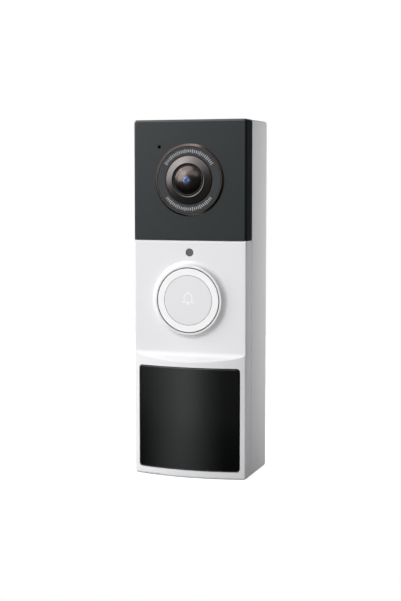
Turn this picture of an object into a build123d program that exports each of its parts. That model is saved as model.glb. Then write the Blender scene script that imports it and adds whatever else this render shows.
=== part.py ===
"""Battery video doorbell on its wall plate, as separate parts in millimetres.

Frame: X to the right seen from the street, Y into the wall, Z up.
The origin is the centre of the wall plate's back face, so the wall is the plane Y = 0 and the front faces -Y.
"""

import os
from math import cos, radians, sin, sqrt

from build123d import *

# Driving dimensions of the casing.
BODY_H = 150.0
BODY_W = 49.5
FRONT = -31.5  # flat front face
COVER_DEPTH = 7.9  # front shells, from the flat face back to the parting line
HOUSING_BACK = -0.4  # the wall plate stands proud of the housing by this much
WALL = 1.8
CORNER = 1.2
SEAM = 0.08  # joint between camera panel and front cover
SEAM_CHAMFER = 0.35  # on both sides of the parting line
PANEL_H = 50.0

SPLIT = FRONT + COVER_DEPTH
TOP = BODY_H / 2
BOTTOM = -BODY_H / 2
SIDE = BODY_W / 2
INNER = SIDE - WALL
PANEL_Z = TOP - PANEL_H

# Lower front: a bulge about a vertical axis with a sloped shoulder above it.
BULGE = 3.6
BULGE_R = (SIDE**2 + BULGE**2) / (2 * BULGE)
BULGE_AXIS_Y = FRONT - BULGE + BULGE_R
SHOULDER_Z = -23.0
SHOULDER_DROP = 0.75  # fall per millimetre of bulge
SHOULDER_BLEND = 3.0
CREST_R = 0.45
FLAT_EDGE_R = 0.7
BULGE_EDGE_R = 1.0

# Motion sensor window.
WINDOW_HALF_W = 22.4
WINDOW_TOP = -28.0
WINDOW_BOTTOM = -71.8
WINDOW_R = 1.5
WINDOW_GAP = 0.15
WINDOW_Z = (WINDOW_TOP + WINDOW_BOTTOM) / 2
WINDOW_H = WINDOW_TOP - WINDOW_BOTTOM

# Camera, on its own axis.
LENS_Z = 50.0
BEZEL_R = 15.1
BEZEL_BORE = 14.0
INDEX_R = 13.85
CONE_R = 10.05
BARREL_R = 6.45
THREAD_R = 5.9
GLASS_R = 5.9
GLASS_RISE = 2.4
MIC_X, MIC_Z = -13.3, 63.75

# Call button.
BUTTON_R = 13.45
BUTTON_BORE = 13.75
BUTTON_PROUD = 2.1
DISC_R = 10.45
BELL_Z = 0.7  # middle of the bell symbol

# Status light.
STATUS_Z = 19.9
STATUS_R = 1.65

# Boards: front and back faces.
MAIN_FRONT, MAIN_BACK = -26.8, -25.8
LED_FRONT, LED_BACK = -28.4, -27.6
CAMERA_FRONT, CAMERA_BACK = -12.0, -10.8
MOTION_FRONT, MOTION_BACK = -18.0, -17.0
PORT_FRONT, PORT_BACK = -10.0, -9.0
FRAME_FRONT, FRAME_BACK = -25.2, -23.7

MAIN_SCREWS = [(x, z) for x in (-18.5, 18.5) for z in (-22.6, 21.2)]
CAMERA_SCREWS = [(x, z) for x in (-15.5, 17.0) for z in (40.2, 59.8)]
LED_SCREWS = [(x, LENS_Z) for x in (-19.8, 19.8)]
MOTION_SCREWS = [(x, z) for x in (-16.6, 16.6) for z in (-58.8, -42.2)]
PORT_SCREWS = [(6.4, -57.4), (12.5, -57.4)]
CASE_SCREWS = [(x, z) for x in (-20.2, 20.2) for z in (-69.6, 69.6)]

# Battery: two 18650 cells side by side behind the button.
CELL_R = 9.15
CELL_L = 65.0
CELL_X = 9.6
CELL_Y = -14.3
CELL_Z = -1.4

# Wall plate and the pocket it sits in.
LIFT = 7.0
PLATE_HALF_W = 17.5
PLATE_TOP, PLATE_BOTTOM = 51.0, -44.0
PLATE_T = 2.4
POCKET_FLOOR = -3.0
FLOOR_INSIDE = -4.6
TAB_OUT = 19.4
TAB_H = 6.0
TAB_ZS = (38.0, -34.0)
SCREW_PITCH = 62.0
WALL_SCREW_R = 2.2

# Charging port and reset key.
PORT_X = 9.5
PORT_Y = -11.65
COVER_AXIS_Y, COVER_AXIS_Z = -7.9, -74.55
RESET_X, RESET_Z = 9.5, -61.5

SPEAKER_X, SPEAKER_Y = -7.3, -14.0


def block(x0, x1, y0, y1, z0, z1):
    """Box between two corners."""
    middle = Pos((x0 + x1) / 2, (y0 + y1) / 2, (z0 + z1) / 2)
    return middle * Box(x1 - x0, y1 - y0, z1 - z0)


def slab(width, height, y0, y1, radius, x=0.0, z=0.0):
    """Rounded rectangle as seen from the front, from y0 back to y1."""
    face = Plane.XZ * RectangleRounded(width, height, radius)
    return Pos(x, y1, z) * extrude(face, y1 - y0)


def rod(radius, y0, y1, x=0.0, z=0.0):
    """Cylinder lying front to back."""
    return Pos(x, (y0 + y1) / 2, z) * Rot(90, 0, 0) * Cylinder(radius, y1 - y0)


def tube(outer, inner, y0, y1, x=0.0, z=0.0):
    """Hollow cylinder lying front to back."""
    return rod(outer, y0, y1, x, z) - rod(inner, y0, y1, x, z)


def turned(points, x=0.0, z=0.0):
    """Solid of revolution about a front-to-back axis, from (radius, y) points."""
    face = make_face(Polyline(*points, close=True))
    return Pos(x, 0, z) * revolve(face, Axis.Y, 360)


def bulge_prism(inset, half_width, z0, z1):
    """Solid from the parting line out to the bulging front, moved in by inset."""
    radius = BULGE_R - inset
    depth = sqrt(radius**2 - half_width**2)
    left = (-half_width, BULGE_AXIS_Y - depth)
    right = (half_width, BULGE_AXIS_Y - depth)
    front = ThreePointArc(left, (0, BULGE_AXIS_Y - radius), right)
    sides = Polyline(right, (half_width, SPLIT), (-half_width, SPLIT), left)
    return Pos(0, 0, z0) * extrude(make_face(front + sides), z1 - z0)


def bulge_skin(inset0, inset1, width, height, radius, z):
    """Piece of curved sheet between two insets, cut to a rounded rectangle."""
    half = width / 2 + 1
    low, high = z - height / 2 - 1, z + height / 2 + 1
    sheet = bulge_prism(inset0, half, low, high) - bulge_prism(inset1, half + 2, low - 2, high + 2)
    return sheet & slab(width, height, FRONT - BULGE - 2, SPLIT + 2, radius, z=z)


def grid(shapes):
    """Several separate solids kept together in one part."""
    return Compound(children=[s for shape in shapes for s in shape.solids()])


def screw(head_r, head_h, shank_r, length, y_seat, x, z, towards_back):
    """Pan-head screw whose head sits at y_seat, with a hexagonal recess."""
    way = 1 if towards_back else -1
    head = rod(head_r, *sorted((y_seat, y_seat - way * head_h)), x, z)
    shank = rod(shank_r, *sorted((y_seat, y_seat + way * length)), x, z)
    recess_face = Plane.XZ * RegularPolygon(head_r * 0.45, 6)
    recess_end = y_seat - way * head_h
    recess = Pos(x, recess_end + head_h * 0.6, z) * extrude(recess_face, head_h * 1.2)
    return head + shank - recess


# ---------------------------------------------------------------- casing


def shoulder_cut():
    """Everything above the sloped shoulder of the bulge, with its concave blend."""
    reach = 8.0
    outline = Polygon(
        (FRONT, SHOULDER_Z + reach),
        (FRONT, SHOULDER_Z),
        (FRONT - reach, SHOULDER_Z - SHOULDER_DROP * reach),
        (FRONT - reach, SHOULDER_Z + reach),
        align=None,
    )
    corner = outline.vertices().sort_by_distance((FRONT, SHOULDER_Z))[0]
    outline = fillet(corner, SHOULDER_BLEND)
    return extrude(Plane.YZ * outline, SIDE + 1, both=True)


def button_rim():
    """Raised collar round the button: a flared skirt up to a narrow crest."""
    foot = (16.5, FRONT)
    crest = (14.75, FRONT - BUTTON_PROUD + 0.35)
    flare = ThreePointArc(foot, (15.15, FRONT - 0.85), crest)
    nose = ThreePointArc(crest, (14.6, FRONT - BUTTON_PROUD + 0.1), (14.3, FRONT - BUTTON_PROUD))
    rest = Polyline(
        (14.3, FRONT - BUTTON_PROUD),
        (BUTTON_BORE, FRONT - BUTTON_PROUD),
        (BUTTON_BORE, FRONT + WALL),
        (16.5, FRONT + WALL),
        foot,
    )
    return revolve(make_face(flare + nose + rest), Axis.Y, 360)


def front_cover():
    """White front shell: button collar, status light hole, bulge and sensor window opening."""
    upper = slab(BODY_W, BODY_H, FRONT, SPLIT, CORNER) & block(
        -SIDE - 1, SIDE + 1, FRONT - 1, SPLIT + 1, SHOULDER_Z - 6, PANEL_Z - SEAM
    )
    front_edges = upper.faces().sort_by(Axis.Y)[0].edges()
    edge_top = front_edges.sort_by(Axis.Z)[-1]
    upper = fillet(front_edges.filter_by(Axis.Z) + [edge_top], FLAT_EDGE_R)

    lower = bulge_prism(0, SIDE, BOTTOM, SHOULDER_Z + 4)
    lower &= slab(BODY_W, BODY_H, FRONT - BULGE - 1, SPLIT, CORNER)
    bulge_face = lower.faces().filter_by(GeomType.CYLINDER).sort_by(Axis.Y)[0]
    kept = [e for e in bulge_face.edges() if e.center().Z < SHOULDER_Z]
    lower = fillet(kept, BULGE_EDGE_R)
    lower = lower - shoulder_cut()
    crest = lower.faces().filter_by(GeomType.CYLINDER).sort_by(Axis.Y)[0].edges().sort_by(Axis.Z)[-1]
    lower = fillet(crest, CREST_R)
    lower -= block(-SIDE - 1, SIDE + 1, FRONT, SPLIT + 1, SHOULDER_Z, SHOULDER_Z + 9)

    shell = upper + lower
    room_top = PANEL_Z - SEAM - WALL
    shell -= block(-INNER, INNER, FRONT + WALL, SPLIT, BOTTOM + WALL, room_top)
    shell -= block(-INNER, INNER, FRONT + 3.2, SPLIT, room_top - 1, PANEL_Z)
    shell -= bulge_prism(WALL, INNER, BOTTOM + WALL, SHOULDER_Z - 4.2)
    shell -= rod(BUTTON_BORE, FRONT - 1, FRONT + 3)
    shell += button_rim()
    shell -= rod(STATUS_R + 0.05, FRONT - 1, FRONT + 3, 0, STATUS_Z)
    shell -= slab(
        2 * WINDOW_HALF_W, WINDOW_H, FRONT - BULGE - 2, SPLIT - 1, WINDOW_R, z=WINDOW_Z
    )
    seam_edges = shell.faces().filter_by(Plane.XZ).sort_by(Axis.Y)[-1].edges()
    outer = [e for e in seam_edges if abs(e.center().X) > SIDE - 0.01 or e.center().Z < BOTTOM + 0.01]
    return chamfer(outer, SEAM_CHAMFER)


def camera_panel():
    """Dark infrared-clear cap over the camera: front, both sides and the top in one moulding."""
    cap = slab(BODY_W, BODY_H, FRONT, SPLIT, CORNER) & block(
        -SIDE - 1, SIDE + 1, FRONT - 1, SPLIT + 1, PANEL_Z, TOP + 1
    )
    face_edges = cap.faces().sort_by(Axis.Y)[0].edges()
    bottom_edge = face_edges.sort_by(Axis.Z)[0]
    rim = [e for e in face_edges if e.center().Z > bottom_edge.center().Z + 1]
    cap = chamfer(rim, 0.85)
    room = slab(2 * INNER, BODY_H - 2 * WALL, FRONT + WALL, SPLIT, CORNER * 0.5)
    cap -= room & block(-SIDE, SIDE, FRONT, SPLIT + 1, PANEL_Z + WALL, TOP)
    cap -= block(-INNER, INNER, FRONT + 3.2, SPLIT, PANEL_Z - 1, PANEL_Z + WALL + 1)
    cap -= rod(BEZEL_BORE + 0.6, FRONT - 1, FRONT + 3, 0, LENS_Z)
    cap -= rod(0.75, FRONT - 1, FRONT + 3, MIC_X, MIC_Z)
    return cap


def rear_housing():
    """White battery housing: sealed tub with the wall plate's pocket in its back."""
    tub = slab(BODY_W, BODY_H, SPLIT, HOUSING_BACK, CORNER)
    tub = fillet(tub.faces().sort_by(Axis.Y)[-1].edges(), 0.9)
    front_loop = tub.faces().sort_by(Axis.Y)[0].edges()
    tub = chamfer(front_loop, SEAM_CHAMFER)
    tub -= slab(2 * INNER, BODY_H - 2 * WALL, SPLIT, FLOOR_INSIDE, CORNER * 0.5)
    for low, high in ((PLATE_TOP + 3.2, TOP - WALL), (BOTTOM + WALL, PLATE_BOTTOM - LIFT - 3.2)):
        tub -= block(-INNER + 1.6, INNER - 1.6, FLOOR_INSIDE - 1, HOUSING_BACK - 1.6, low, high)

    # Pocket for the wall plate, with a sideways channel for each tab.
    half = PLATE_HALF_W + 0.5
    pocket_top, pocket_bottom = PLATE_TOP + 0.6, PLATE_BOTTOM - LIFT - 0.6
    tub -= slab(
        2 * half,
        pocket_top - pocket_bottom,
        POCKET_FLOOR,
        HOUSING_BACK + 1,
        4.2,
        z=(pocket_top + pocket_bottom) / 2,
    )
    reach = TAB_OUT + 0.4
    for z in TAB_ZS:
        for side in (-1, 1):
            x0, x1 = sorted((side * (half - 1), side * reach))
            tub -= block(x0, x1, POCKET_FLOOR, -1.15, z - LIFT - 0.3, z + TAB_H + 0.05)
            tub -= block(x0, x1, POCKET_FLOOR, 1, z - LIFT - 0.3, z - LIFT + TAB_H + 0.3)

    # Screw towers in the corners and posts for the small boards.
    inside = slab(2 * INNER, BODY_H - 2 * WALL, SPLIT, HOUSING_BACK, CORNER * 0.5)
    back_wall = HOUSING_BACK - 1.0
    tub += [rod(3.0, SPLIT, back_wall, x, z) & inside for x, z in CASE_SCREWS]
    tub += [rod(2.0, MOTION_BACK, POCKET_FLOOR - 0.8, x, z) for x, z in MOTION_SCREWS[1::2]]
    tub += [rod(2.0, MOTION_BACK, back_wall, x, z) for x, z in MOTION_SCREWS[0::2]]
    tub += [rod(1.9, PORT_BACK, back_wall, x, z) for x, z in PORT_SCREWS]
    for x, z in CASE_SCREWS:
        tub -= rod(2.1, -8.0, 1, x, z) + rod(1.2, SPLIT - 1, -7.9, x, z)
    for x, z in MOTION_SCREWS:
        tub -= rod(0.8, MOTION_BACK - 1, MOTION_BACK + 5.2, x, z)
    for x, z in PORT_SCREWS:
        tub -= rod(0.8, PORT_BACK - 1, PORT_BACK + 5.2, x, z)

    # Groove for the casing seal.
    groove = slab(BODY_W - 0.9, BODY_H - 0.9, SPLIT - 1, SPLIT + 0.7, 1.0)
    tub -= groove - slab(BODY_W - 2.7, BODY_H - 2.7, SPLIT - 2, SPLIT + 2, 0.5)

    # Underside: speaker slots, charging port and its cover's pocket; back: reset key.
    for i in range(5):
        x = SPEAKER_X + (i - 2) * 2.5
        slot = Pos(x, SPEAKER_Y, BOTTOM) * extrude(SlotOverall(9.0, 1.3, rotation=90), 4, both=True)
        tub -= slot
    port_hole = Pos(PORT_X, PORT_Y, BOTTOM) * extrude(RectangleRounded(9.5, 3.8, 1.8), 4, both=True)
    tub -= port_hole
    tub -= Pos(PORT_X, -11.6, BOTTOM) * extrude(RectangleRounded(13.2, 8.8, 0.4), 0.9, both=True)
    tub -= Pos(PORT_X, -16.0, BOTTOM) * Cylinder(2.4, 1.8)
    tub -= rod(2.1, FLOOR_INSIDE - 1, 1, RESET_X, RESET_Z)
    return tub


def casing_seal():
    """Silicone cord in the housing's groove, all the way round the parting line."""
    loop = slab(BODY_W - 0.9, BODY_H - 0.9, SPLIT, SPLIT + 0.7, 1.0)
    return loop - slab(BODY_W - 2.7, BODY_H - 2.7, SPLIT - 1, SPLIT + 1, 0.5)


def case_screws():
    """Four long screws from the back of the housing into the inner frame."""
    return grid(screw(1.9, 1.4, 0.98, 18.8, -8.0, x, z, False) for x, z in CASE_SCREWS)


def rating_label():
    """Blank label on the back of the housing."""
    return slab(20.0, 12.0, HOUSING_BACK, HOUSING_BACK + 0.12, 1.0, -9.0, -62.5)


def inner_frame():
    """Black carrier that holds the boards and takes the casing screws."""
    frame = slab(2 * INNER - 0.5, BODY_H - 2 * WALL - 0.6, FRAME_FRONT, FRAME_BACK, 1.0)
    frame -= rod(12.0, FRAME_FRONT - 1, FRAME_BACK + 1, 0, LENS_Z)
    frame -= slab(40.0, 33.6, FRAME_FRONT - 1, FRAME_BACK + 1, 2.0, z=-54.4)
    frame -= block(-12.4, -2.6, FRAME_FRONT - 1, FRAME_BACK + 1, 35.6, 38.2)
    frame -= block(6.0, 16.0, FRAME_FRONT - 1, FRAME_BACK + 1, -36.0, -28.5)
    for x, z in CASE_SCREWS:
        frame += rod(2.45, FRAME_FRONT - 2.2, FRAME_BACK, x, z)
        frame -= rod(1.0, FRAME_FRONT - 1.8, FRAME_BACK + 1, x, z)
    for x, z in MAIN_SCREWS:
        frame += rod(2.3, MAIN_BACK, FRAME_BACK + 2.0, x, z)
        frame -= rod(0.8, MAIN_BACK - 1, FRAME_BACK + 1.4, x, z)
    for x, z in CAMERA_SCREWS:
        frame += rod(2.0, FRAME_BACK, CAMERA_FRONT, x, z)
        frame -= rod(0.8, CAMERA_FRONT - 5.0, CAMERA_FRONT + 1, x, z)
    for x, z in LED_SCREWS:
        frame += rod(1.6, LED_BACK, FRAME_FRONT, x, z)
        frame -= rod(0.7, LED_BACK - 1, FRAME_FRONT + 0.9, x, z)
    return frame


# ---------------------------------------------------------------- camera


def lens_bezel():
    """Trim ring round the camera: bevelled outside, stepped inside to seat the two inner rings."""
    y = FRONT
    return turned(
        [
            (BEZEL_R, y),
            (BEZEL_R - 0.85, y - 0.9),
            (BEZEL_BORE, y - 0.9),
            (BEZEL_BORE, y + 1.0),
            (CONE_R + 0.07, y + 1.0),
            (CONE_R + 0.07, y + 2.2),
            (BARREL_R + 0.15, y + 2.2),
            (BARREL_R + 0.15, y + 3.0),
            (BEZEL_BORE + 0.5, y + 3.0),
            (BEZEL_BORE + 0.5, y),
        ],
        z=LENS_Z,
    )


def index_ring():
    """Flat dark ring inside the trim ring."""
    y = FRONT
    return turned(
        [
            (INDEX_R, y - 0.75),
            (INDEX_R - 0.12, y - 0.87),
            (10.32, y - 0.87),
            (10.2, y - 0.75),
            (10.2, y + 1.0),
            (INDEX_R, y + 1.0),
        ],
        z=LENS_Z,
    )


def lens_cone():
    """Machined metal cone between the index ring and the lens."""
    y = FRONT
    return turned(
        [
            (CONE_R, y - 0.95),
            (CONE_R - 0.2, y - 1.15),
            (7.05, y - 2.35),
            (6.75, y - 2.25),
            (6.6, y - 1.7),
            (6.6, y + 2.2),
            (CONE_R, y + 2.2),
        ],
        z=LENS_Z,
    )


def front_glass():
    """Domed front element, a deep meniscus."""
    sphere_r = (GLASS_R**2 + GLASS_RISE**2) / (2 * GLASS_RISE)
    y_rim = FRONT - 2.2
    cap = Pos(0, y_rim - GLASS_RISE + sphere_r, LENS_Z) * Sphere(sphere_r)
    blank = rod(GLASS_R, y_rim - GLASS_RISE - 0.5, FRONT - 1.1, 0, LENS_Z)
    hollow = Pos(0, FRONT - 0.35, LENS_Z) * Sphere(3.4)
    return (cap & blank) - hollow


def lens_barrel():
    """Black threaded barrel with its stepped bores."""
    y = FRONT
    return turned(
        [
            (BARREL_R, y + 2.0),
            (THREAD_R, y + 2.0),
            (THREAD_R, y + 13.0),
            (3.0, y + 13.0),
            (3.0, y + 12.0),
            (3.8, y + 12.0),
            (3.8, y + 3.6),
            (4.6, y + 3.6),
            (4.6, y - 1.1),
            (GLASS_R + 0.03, y - 1.1),
            (GLASS_R + 0.03, y - 2.25),
            (GLASS_R + 0.2, y - 2.35),
            (BARREL_R - 0.1, y - 2.35),
            (BARREL_R, y - 2.25),
        ],
        z=LENS_Z,
    )


def biconvex(radius, edge, rise, y_mid):
    """Simple lens: a disc with a spherical cap on each side."""
    sphere_r = (radius**2 + rise**2) / (2 * rise)
    depth = sphere_r - rise - edge / 2
    front = Pos(0, y_mid + depth, LENS_Z) * Sphere(sphere_r)
    back = Pos(0, y_mid - depth, LENS_Z) * Sphere(sphere_r)
    return front & back & rod(radius, y_mid - 4, y_mid + 4, 0, LENS_Z)


def inner_lenses():
    """Three inner elements spaced along the barrel."""
    return grid(
        [
            biconvex(4.55, 0.8, 0.7, FRONT + 2.6),
            biconvex(3.75, 0.7, 0.6, FRONT + 6.0),
            biconvex(3.75, 0.9, 0.8, FRONT + 9.8),
        ]
    )


def lens_spacers():
    """Thin black rings that space the inner elements."""
    y = FRONT
    return grid(
        [
            tube(3.78, 3.1, y + 4.1, y + 5.0, 0, LENS_Z),
            tube(3.78, 3.1, y + 7.0, y + 8.6, 0, LENS_Z),
        ]
    )


def lens_mount():
    """Black holder: threaded tube on a base that spans the filter and the sensor."""
    back = FRONT + 14.0
    holder = tube(7.6, 6.0, FRONT + 6.0, back, 0, LENS_Z)
    holder += block(-9.0, 14.8, back, CAMERA_FRONT, 41.0, 59.0)
    holder -= rod(3.6, back - 0.5, CAMERA_FRONT - 3, 0, LENS_Z)
    holder -= block(-4.2, 12.2, back + 0.9, back + 1.7, 45.2, 54.8)
    holder -= block(-5.0, 5.0, back + 2.3, CAMERA_FRONT, 45.0, 55.0)
    return holder


def filter_actuator():
    """Coil that swings the infrared filter in and out of the light path."""
    return slab(6.0, 8.0, FRONT + 10.0, FRONT + 14.0, 0.8, 11.6, LENS_Z)


def filter_blade():
    """Sliding carrier of the infrared filter."""
    y = FRONT + 14.9
    plate = block(-3.9, 3.9, y + 0.15, y + 0.65, 45.6, 54.4)
    return plate - rod(3.1, y - 1, y + 2, 0, LENS_Z)


def filter_glass():
    """Infrared-blocking glass in the sliding carrier."""
    y = FRONT + 14.9
    return rod(3.1, y + 0.2, y + 0.6, 0, LENS_Z)


def image_sensor():
    """Sensor package on the camera board, with its cover glass."""
    y = CAMERA_FRONT - 1.0
    package = block(-3.6, 3.6, y, CAMERA_FRONT, LENS_Z - 3.2, LENS_Z + 3.2)
    cover = block(-3.3, 3.3, y - 0.4, y, LENS_Z - 2.9, LENS_Z + 2.9)
    return grid([package, cover])


def camera_board():
    """Circuit board behind the camera."""
    board = slab(37.0, 25.0, CAMERA_FRONT, CAMERA_BACK, 1.0, 0.5, LENS_Z)
    for x, z in CAMERA_SCREWS:
        board -= rod(0.95, CAMERA_FRONT - 1, CAMERA_BACK + 1, x, z)
    return board


def led_board():
    """Square-holed board round the camera for the night lamps and the microphone."""
    board = slab(43.0, 34.0, LED_FRONT, LED_BACK, 2.0, 0, LENS_Z)
    board -= rod(15.6, LED_FRONT - 1, LED_BACK + 1, 0, LENS_Z)
    for x, z in LED_SCREWS:
        board -= rod(0.85, LED_FRONT - 1, LED_BACK + 1, x, z)
    return board


def infrared_leds():
    """Four night-vision lamps behind the dark panel."""
    lamps = []
    for x in (-18.3, 18.3):
        for z in (LENS_Z - 13.2, LENS_Z + 13.2):
            base = block(x - 1.75, x + 1.75, LED_FRONT - 0.7, LED_FRONT, z - 1.75, z + 1.75)
            dome = Pos(x, LED_FRONT - 0.2, z) * Sphere(1.0)
            lamps.append(base + (dome & block(x - 2, x + 2, LED_FRONT - 2, LED_FRONT - 0.7, z - 2, z + 2)))
    return grid(lamps)


def panel_gaskets():
    """Foam ring round the camera and the microphone's soft tube, both against the dark panel."""
    ring = tube(16.4, 14.7, FRONT + WALL, LED_FRONT, 0, LENS_Z)
    sleeve = tube(1.3, 0.6, FRONT + WALL, LED_FRONT - 0.75, MIC_X, MIC_Z)
    return grid([ring, sleeve])


def microphone():
    """Microphone capsule on the lamp board."""
    return block(
        MIC_X - 1.75, MIC_X + 1.75, LED_FRONT - 0.75, LED_FRONT, MIC_Z - 1.35, MIC_Z + 1.35
    ) - rod(0.3, LED_FRONT - 1, LED_FRONT - 0.4, MIC_X, MIC_Z)


# ---------------------------------------------------------------- call button


def bell_outline():
    """Bell symbol as strokes: dome and skirt, lip and clapper."""
    stroke = 0.42
    half = 1.9
    dome = make_face(
        ThreePointArc((-half, 0.5), (0, 2.4), (half, 0.5))
        + Polyline((half, 0.5), (half, -1.7), (-half, -1.7), (-half, 0.5))
    )
    inside = make_face(
        ThreePointArc((-half + stroke, 0.5), (0, 2.4 - stroke), (half - stroke, 0.5))
        + Polyline(
            (half - stroke, 0.5), (half - stroke, -1.7 + stroke), (-half + stroke, -1.7 + stroke),
            (-half + stroke, 0.5),
        )
    )
    body = dome - inside
    lip = Pos(0, -1.7 + stroke / 2) * SlotOverall(5.4, stroke)
    knob = Pos(0, 2.55) * Circle(0.42)
    clapper = Pos(0, -2.0) * Circle(0.6)
    return body + lip + knob + clapper


def bell_symbol():
    """Clear-white symbol moulded into the button's face."""
    face = Plane.XZ * bell_outline()
    y = FRONT - BUTTON_PROUD
    return Pos(0, y + 0.3, BELL_Z) * extrude(face, 0.3)


def button_cap():
    """White centre of the button, with the post that reaches the switch."""
    y = FRONT - BUTTON_PROUD
    cap = turned(
        [
            (0, y),
            (DISC_R - 0.12, y),
            (DISC_R, y + 0.12),
            (DISC_R, y + 1.5),
            (2.2, y + 1.5),
            (2.2, FRONT + 2.95),
            (0, FRONT + 2.95),
        ]
    )
    rib = block(-8.2, 8.2, y + 1.4, y + 2.6, -0.5, 0.5)
    cap += [rib, Rot(0, 90, 0) * rib]
    return cap - bell_symbol()


def light_ring():
    """Milky light guide round the button, down to its retaining flange."""
    y = FRONT - BUTTON_PROUD
    return turned(
        [
            (DISC_R + 0.03, y + 0.05),
            (DISC_R + 0.1, y),
            (BUTTON_R - 0.25, y),
            (BUTTON_R, y + 0.25),
            (BUTTON_R, FRONT + WALL + 0.06),
            (14.9, FRONT + WALL + 0.06),
            (14.9, FRONT + WALL + 0.9),
            (11.6, FRONT + WALL + 0.9),
            (11.6, y + 2.3),
            (8.6, y + 2.3),
            (8.6, y + 1.5),
            (DISC_R + 0.03, y + 1.5),
        ]
    )


def return_pad():
    """Silicone ring under the button that pushes it back out."""
    y = FRONT - BUTTON_PROUD + 2.6
    return turned([(5.6, y), (6.8, y), (8.4, MAIN_FRONT - 0.6), (9.4, MAIN_FRONT - 0.6), (9.4, MAIN_FRONT),
                   (7.4, MAIN_FRONT)])


def call_switch():
    """Push switch on the main board under the button's post."""
    body = slab(5.2, 5.2, MAIN_FRONT - 1.2, MAIN_FRONT, 0.5)
    return body - rod(1.25, MAIN_FRONT - 2, MAIN_FRONT - 0.15)


def call_plunger():
    """Plunger of the push switch."""
    return rod(1.2, FRONT + 3.0, MAIN_FRONT - 0.75)


def indicator_leds():
    """Eight lamps that light the ring, and the status lamp with its light sensor."""
    lamps = [block(-1.0, 1.0, MAIN_FRONT - 0.7, MAIN_FRONT, STATUS_Z - 0.6, STATUS_Z + 0.6)]
    for i in range(8):
        a = radians(22.5 + 45 * i)
        x, z = 12.6 * cos(a), 12.6 * sin(a)
        lamps.append(block(x - 0.8, x + 0.8, MAIN_FRONT - 0.6, MAIN_FRONT, z - 0.8, z + 0.8))
    return grid(lamps)


def status_window():
    """Smoky light pipe in front of the status lamp and light sensor."""
    y = FRONT
    return turned(
        [
            (0, y + 0.12),
            (STATUS_R - 0.2, y + 0.12),
            (STATUS_R, y + 0.3),
            (STATUS_R, y + WALL),
            (2.4, y + WALL),
            (2.4, y + WALL + 0.7),
            (1.3, y + WALL + 0.7),
            (1.3, y + 3.6),
            (0, y + 3.6),
        ],
        z=STATUS_Z,
    )


# ---------------------------------------------------------------- main electronics


def main_board():
    """Main circuit board behind the button."""
    board = slab(42.0, 49.0, MAIN_FRONT, MAIN_BACK, 1.0, 0, -0.7)
    for x, z in MAIN_SCREWS:
        board -= rod(0.95, MAIN_FRONT - 1, MAIN_BACK + 1, x, z)
    return board


def radio_shield():
    """Pressed tin lid over the radio."""
    y = MAIN_FRONT
    lid = slab(9.8, 7.6, y - 1.8, y, 0.8, 10.9, 19.1)
    return lid - slab(9.2, 7.0, y - 1.5, y + 1, 0.5, 10.9, 19.1)


def board_chips():
    """Processor, radio, memory, power and charger chips, and the power supply's coil."""
    y = MAIN_FRONT
    return grid(
        [
            block(-20.5, -12.5, y - 1.0, y, 9.6, 17.6),
            block(8.4, 13.4, y - 0.9, y, 16.9, 21.5),
            slab(5.0, 5.0, y - 2.2, y, 1.0, 4.0, -20.8),
            block(-16.0, -9.0, y - 0.9, y, -23.6, -18.2),
            block(-6.0, -1.0, y - 0.9, y, -24.2, -19.2),
            block(-20.6, -17.0, y - 0.8, y, -16.0, -11.0),
            block(16.8, 20.4, y - 0.8, y, -14.0, -10.0),
        ]
    )


def board_connectors():
    """Ribbon sockets on the main and camera boards, and the battery's socket."""
    y, y_camera = MAIN_FRONT, CAMERA_FRONT
    low = block(-12.0, -3.0, y - 1.0, y, 20.4, 23.2)
    low -= block(-11.6, -3.4, y - 0.75, y - 0.35, 21.6, 24.0)
    high = block(-12.0, -3.0, y_camera - 1.4, y_camera, 37.9, 40.6)
    high -= block(-11.6, -3.4, y_camera - 0.95, y_camera - 0.45, 37.0, 39.2)
    return grid([low, high, block(9.0, 16.0, y - 1.8, y, -24.8, -21.0)])


def camera_ribbon():
    """Flat cable from the camera board, over the battery and down to the main board."""
    x0, x1, t = -11.4, -3.6, 0.15
    y_low, y_high, z_bend = CAMERA_FRONT - 0.7, MAIN_FRONT - 0.55, 36.9
    ribbon = block(x0, x1, y_low - t, y_low + t, z_bend - t, 38.6)
    ribbon += block(x0, x1, y_high - t, y_low + t, z_bend - t, z_bend + t)
    ribbon += block(x0, x1, y_high - t, y_high + t, 21.7, z_bend + t)
    return ribbon


def antenna():
    """Stamped antenna on the inner frame above the camera."""
    plate = block(-13.0, 13.0, FRAME_FRONT - 0.3, FRAME_FRONT, 68.4, 72.2)
    for x in (-9.0, -3.0, 3.0):
        plate -= block(x, x + 1.2, FRAME_FRONT - 1, FRAME_FRONT + 1, 69.6, 73.0)
    return plate


# ---------------------------------------------------------------- battery


def battery_cells():
    """Two 18650 cells, positive ends up."""
    cells = []
    for x in (-CELL_X, CELL_X):
        can = Pos(x, CELL_Y, CELL_Z) * Cylinder(CELL_R, CELL_L)
        can = fillet(can.edges(), 0.6)
        nub = Pos(x, CELL_Y, CELL_Z + CELL_L / 2 + 0.2) * Cylinder(2.8, 0.6)
        cells.append(can + nub)
    return grid(cells)


def battery_cradle():
    """Open frame that wraps the cells."""
    outer = slab(42.4, 72.6, -21.4, FLOOR_INSIDE - 0.1, 1.5)
    return outer - slab(39.0, 69.4, -22, -4, 1.0)


def battery_tabs():
    """Nickel strips that join the cells at both ends."""
    low = CELL_Z - CELL_L / 2
    high = CELL_Z + CELL_L / 2 + 0.5
    return grid(
        [
            block(-13.5, 13.5, CELL_Y - 3.0, CELL_Y + 3.0, low - 0.2, low),
            block(-13.5, 13.5, CELL_Y - 3.0, CELL_Y + 3.0, high, high + 0.2),
        ]
    )


def battery_board():
    """Protection board across the top of the cells."""
    z = CELL_Z + CELL_L / 2 + 0.7
    return block(-16.0, 16.0, CELL_Y - 5.0, CELL_Y + 5.0, z, z + 0.9)


# ---------------------------------------------------------------- motion sensor


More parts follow.
